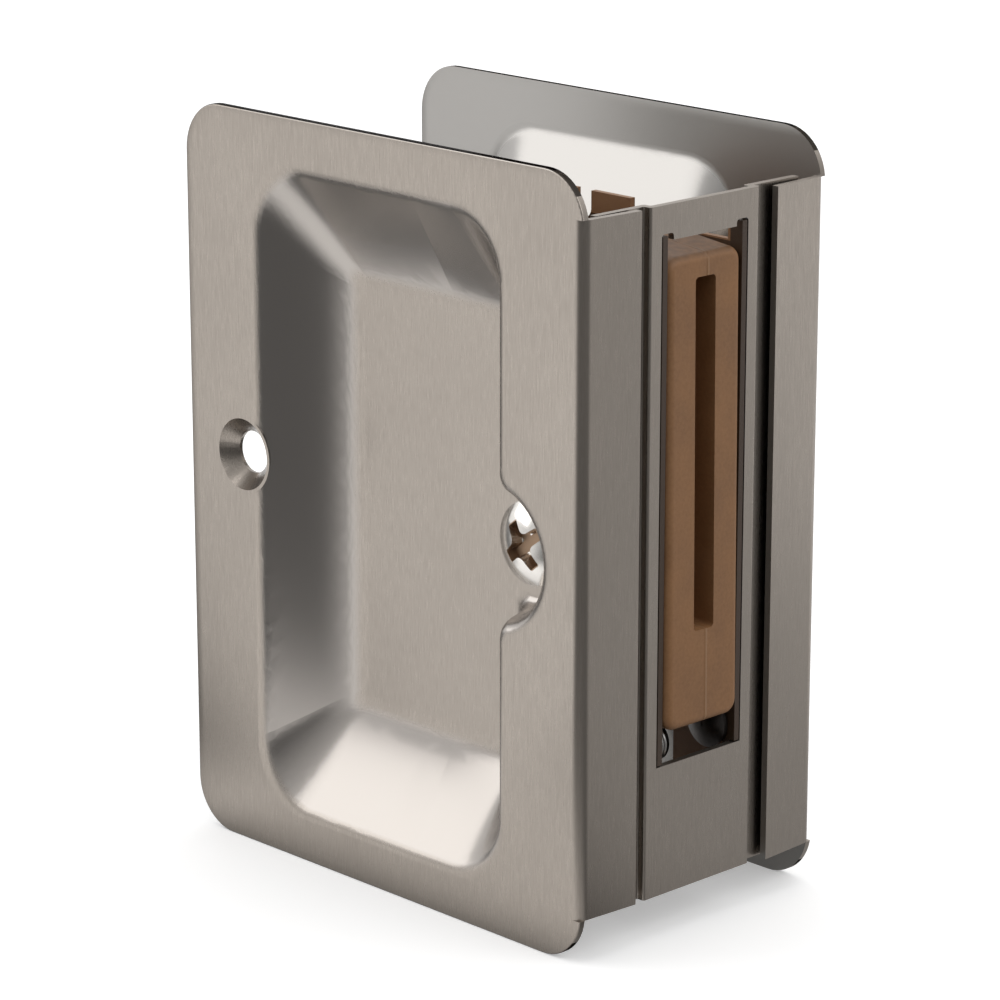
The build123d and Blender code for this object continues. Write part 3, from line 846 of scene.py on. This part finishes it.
@dataclass(frozen=True)
class PaperFloor:
    """Pale paper under the lock, which the camera sees as near white with its shadow.

    For every ray but the camera's, the paper's grey and glow are painted as a studio's light
    and dark parts, which metal mirrors as a painted reflection: painted light on the left,
    before the plates' face, close to the lock and behind it, a painted shadow at the near
    plate's foot, and painted dark elsewhere.
    """

    side: float = 6.0
    rough: float = 0.9

    # The paper's grey, the glow that lifts it where it is seen, and the level of the parts
    # painted dark for metal to mirror.
    paper: float = 0.86
    lift: float = 0.3
    dark_level: float = 0.11

    # Directions on the floor are taken from this point: ahead runs out to the left of
    # the plates' face, and aside at a right angle to that.
    centre: Place = (0.0, -0.02, 0.0)
    ahead_way: Place = (-0.69, -0.72, 0.0)
    aside_way: Place = (-0.72, 0.69, 0.0)

    # The part ahead that is painted light: its two sides, and its end towards the plates'
    # foot, which is painted dark as the lock's shadow.
    left_limits: Span = (0.25, 0.5)
    front_limits: Span = (-0.3, -0.85)
    foot_limits: Span = (-0.03, -0.012)
    near_limits: Span = (0.04, 0.075)

    # The part behind that is painted light, with a strip painted at middle brightness next to
    # the lock.
    back_limits: Span = (-0.75, -0.95)
    strip_way: Place = (-0.707, 0.707, 0.0)
    strip_limits: Span = (0.022, 0.052)
    strip_level: float = 0.42
    far_way: Place = (-0.5, 0.87, 0.0)
    far_limits: Span = (0.6, 0.85)
    far_level: float = 0.85

    def lay(self) -> bpy.types.Object:
        """Lay the bare floor.

        Returns:
            The floor.
        """
        mesh = bpy.data.meshes.new("floor")
        shape = bmesh.new()
        bmesh.ops.create_grid(shape, x_segments=1, y_segments=1, size=self.side / 2)
        shape.to_mesh(mesh)
        shape.free()
        floor = bpy.data.objects.new("floor", mesh)
        bpy.context.scene.collection.objects.link(floor)
        return floor

    def painted_light_ahead(self, sheet: MaterialSheet, place: Socket, way: Socket) -> Socket:
        """Where the paper is painted light: on the left, before the plates' face and close to
        the lock.

        Args:
            sheet: The paper's nodes.
            place: The way from the centre to the point.
            way: The same with a length of 1.

        Returns:
            The brightness, from 0 to 1.
        """
        ahead = sheet.vector("DOT_PRODUCT", way, self.ahead_way)
        aside = sheet.vector("DOT_PRODUCT", way, self.aside_way)
        left = sheet.falling(aside, self.left_limits)
        front = sheet.falling(aside, self.front_limits)
        # Painted shadow: the paper turns dark towards the plates' foot.
        foot = sheet.falling(sheet.place(Axis.Y), self.foot_limits)
        sector = sheet.times(left, front, foot, sheet.above(ahead, 0.0))
        near = sheet.falling(sheet.vector("LENGTH", place), self.near_limits)
        return sheet.most(sector, sheet.times(near, foot))

    def painted_light_behind(self, sheet: MaterialSheet, place: Socket, way: Socket) -> Socket:
        """Where the paper behind the lock is painted light.

        Args:
            sheet: The paper's nodes.
            place: The way from the centre to the point.
            way: The same with a length of 1.

        Returns:
            The painted brightness, from the dark level to 1.
        """
        ahead = sheet.vector("DOT_PRODUCT", way, self.ahead_way)
        across = sheet.vector("DOT_PRODUCT", place, self.strip_way)
        levels = (self.strip_level, self.far_level)
        strip = sheet.spread(across, self.strip_limits, levels)
        back = sheet.times(sheet.rising(ahead, self.back_limits), strip)
        far = sheet.vector("DOT_PRODUCT", way, self.far_way)
        far = sheet.spread(far, self.far_limits, (self.dark_level, self.far_level))
        return sheet.most(back, far)

    def white_paper(self) -> bpy.types.Material:
        """Make the floor's material.

        Returns:
            The material.
        """
        sheet = MaterialSheet("floor_paper", 0.0, self.rough)
        camera, seen = sheet.viewers()
        place = sheet.vector("SUBTRACT", sheet.coordinates.outputs["Object"], self.centre)
        way = sheet.vector("NORMALIZE", place)
        ahead = self.painted_light_ahead(sheet, place, way)
        # Painted light and dark for every ray but the camera's, which always sees the paper at
        # its full level.
        level = sheet.most(ahead, self.painted_light_behind(sheet, place, way), camera)
        grey = sheet.times(level, self.paper)
        tone = sheet.tree.nodes.new("ShaderNodeCombineColor")
        for channel in ("Red", "Green", "Blue"):
            sheet.link(grey, tone.inputs[channel])
        sheet.colour(tone.outputs["Color"])
        sheet.shader.inputs["Emission Color"].default_value = (*WHITE, 1.0)
        lift = sheet.times(seen, level, self.lift)
        sheet.link(lift, sheet.shader.inputs["Emission Strength"])
        return sheet.material

    def build(self) -> None:
        """Lay the floor and give it its paper."""
        floor = self.lay()
        floor.data.materials.append(self.white_paper())
        LOG.info("floor laid")


@dataclass(frozen=True)
class Softbox:
    """One square area lamp that faces the lock, as bright all over as its glow says."""

    name: str
    place: Place
    side: float
    glow: float
    target: Place = (0.0, 0.0, 0.05)

    def build(self) -> None:
        """Make the lamp."""
        lamp = bpy.data.lights.new(self.name, "AREA")
        lamp.shape = "SQUARE"
        lamp.size = self.side
        # A flat lamp of this power glows the same over its area, seen from any side.
        lamp.energy = self.glow * math.pi * self.side**2
        holder = bpy.data.objects.new(self.name, lamp)
        holder.location = self.place
        aim = Vector(self.target) - Vector(self.place)
        holder.rotation_euler = aim.to_track_quat("-Z", "Y").to_euler()
        bpy.context.scene.collection.objects.link(holder)


@dataclass(frozen=True)
class StudioRoom:
    """The room's light, from a bright end on the upper left to a dark one on the right."""

    # The way to the bright end, and how far along it the room is darkest and brightest.
    bright_way: Place = (-0.75, 0.35, 0.55)
    limits: Span = (-0.8, 0.6)
    dark_level: float = 0.1

    # The share of the room's light for rays that only carry light.
    carried: float = 0.95

    def build(self) -> None:
        """Make the world, which the camera sees as white."""
        world = bpy.data.worlds.new("studio_room")
        bpy.context.scene.world = world
        world.use_nodes = True
        sheet = WorldSheet(world)
        camera, seen = sheet.viewers()
        along = sheet.along(self.bright_way)
        room = sheet.spread(along, self.limits, (self.dark_level, 1.0))
        share = sheet.spread(seen, (0.0, 1.0), (self.carried, 1.0))
        level = sheet.most(sheet.times(room, share), camera)
        sheet.link(level, sheet.shader.inputs["Strength"])


@dataclass(frozen=True)
class PhotoCamera:
    """The camera, where the photograph was taken from."""

    place: Place = (0.343884, -0.331897, 0.180989)
    azimuth: float = 46.003
    elevation: float = 15.727
    lens: float = 143.18
    sensor: float = 36.0

    def build(self) -> None:
        """Stand the camera and make it the scene's own."""
        data = bpy.data.cameras.new("photo_camera")
        data.sensor_width = self.sensor
        data.lens = self.lens
        holder = bpy.data.objects.new("photo_camera", data)
        holder.location = self.place
        tilt, turn = math.radians(90.0 - self.elevation), math.radians(self.azimuth)
        holder.rotation_euler = (tilt, 0.0, turn)
        bpy.context.scene.collection.objects.link(holder)
        bpy.context.scene.camera = holder
        bpy.context.scene.view_settings.view_transform = "Standard"
        LOG.info("camera set")


@dataclass
class Studio:
    """Pale floor, soft light and the camera at the photograph's angle."""

    boxes: tuple[Softbox, ...] = (
        Softbox("key_softbox", (-0.95, -0.8, 0.75), 1.0, 1.25),
        Softbox("top_softbox", (-0.1, 0.15, 1.1), 0.85, 0.82),
        Softbox("side_softbox", (0.95, 0.15, 0.7), 1.0, 1.6),
    )

    def build(self) -> None:
        """Lay the floor, light the lock and set the camera."""
        PaperFloor().build()
        for box in self.boxes:
            box.build()
        StudioRoom().build()
        LOG.info("studio lit")
        PhotoCamera().build()


def main() -> None:
    """Dress the lock, one sub-assembly after another."""
    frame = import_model()
    finishes = Finishes()
    for assembly in (ClampingPlates, EdgeUnit, EdgePull):
        assembly(frame, finishes).build()
        LOG.info("%s done", assembly.__name__)
    Studio().build()


if __name__ == "__main__":
    logging.basicConfig(level=logging.INFO, format="%(message)s")
    main()
